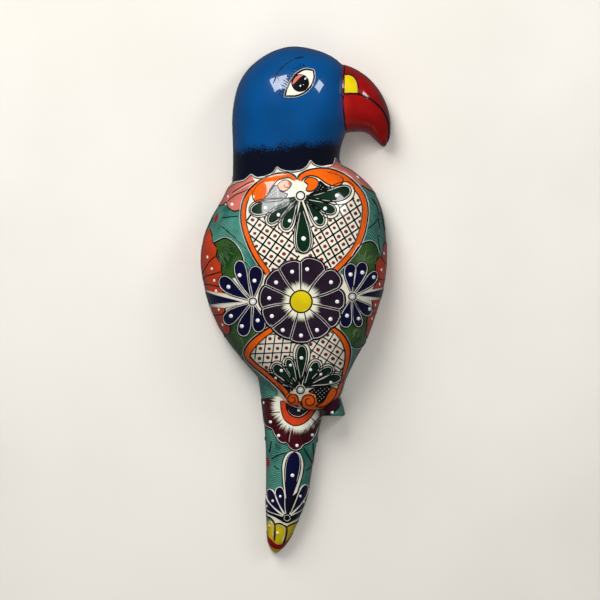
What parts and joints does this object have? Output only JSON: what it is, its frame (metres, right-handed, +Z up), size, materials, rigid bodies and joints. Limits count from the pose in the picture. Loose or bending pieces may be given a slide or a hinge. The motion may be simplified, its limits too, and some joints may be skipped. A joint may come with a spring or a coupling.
{
  "type": "clay wall bird",
  "caption": "Half-round glazed clay parrot that hangs flat on a wall from a swinging wire loop in its open back, painted all over with flowers, hearts and leaves.",
  "frame": {"origin": "where the nail bears, on the underside of the top bend of the wire loop, with the bird hung up", "axes": "+X towards the beak side, +Z up, and the wall face points +Y, so the painted front faces -Y"},
  "size_m": [0.2099, 0.0882, 0.561],
  "materials": {
    "breast_glaze": "glossy clear glaze over blue-green brushed enamel",
    "head_glaze": "glossy clear glaze over blue enamel, speckled to near black at the neck",
    "beak_glaze": "glossy clear glaze over deep red enamel",
    "tail_glaze": "glossy clear glaze over brushed green enamel",
    "foot_glaze": "glossy clear glaze over blue-green enamel",
    "white_glaze": "glossy cream white enamel",
    "black_glaze": "glossy black slip-trailed line",
    "orange_glaze": "glossy orange enamel with brush streaks",
    "green_glaze": "glossy dark green enamel",
    "navy_glaze": "glossy navy enamel",
    "plum_glaze": "glossy aubergine enamel",
    "maroon_glaze": "glossy maroon enamel",
    "yellow_glaze": "glossy yellow enamel",
    "pink_glaze": "glossy salmon pink enamel",
    "bare_clay": "matt fired red earthenware, hand smeared",
    "iron_wire": "dark annealed iron wire, semi-matt"
  },
  "bodies": {
    "plaque": {"breast_shell": "breast_glaze", "head_shell": "head_glaze", "beak": "beak_glaze", "tail_shell": "tail_glaze", "foot_stub": "foot_glaze", "neck_coil": "bare_clay", "tail_coil": "bare_clay", "hanging_strap": "bare_clay"},
    "hanger": {"wire_hanger": "iron_wire"}
  },
  "joints": [
    {"name": "hanger_swing", "type": "hinge", "parent": "plaque", "child": "hanger", "pos_m": [0, 0, -0.04], "axis": [1, 0, 0], "range_deg": [-140, 130]}
  ]
}
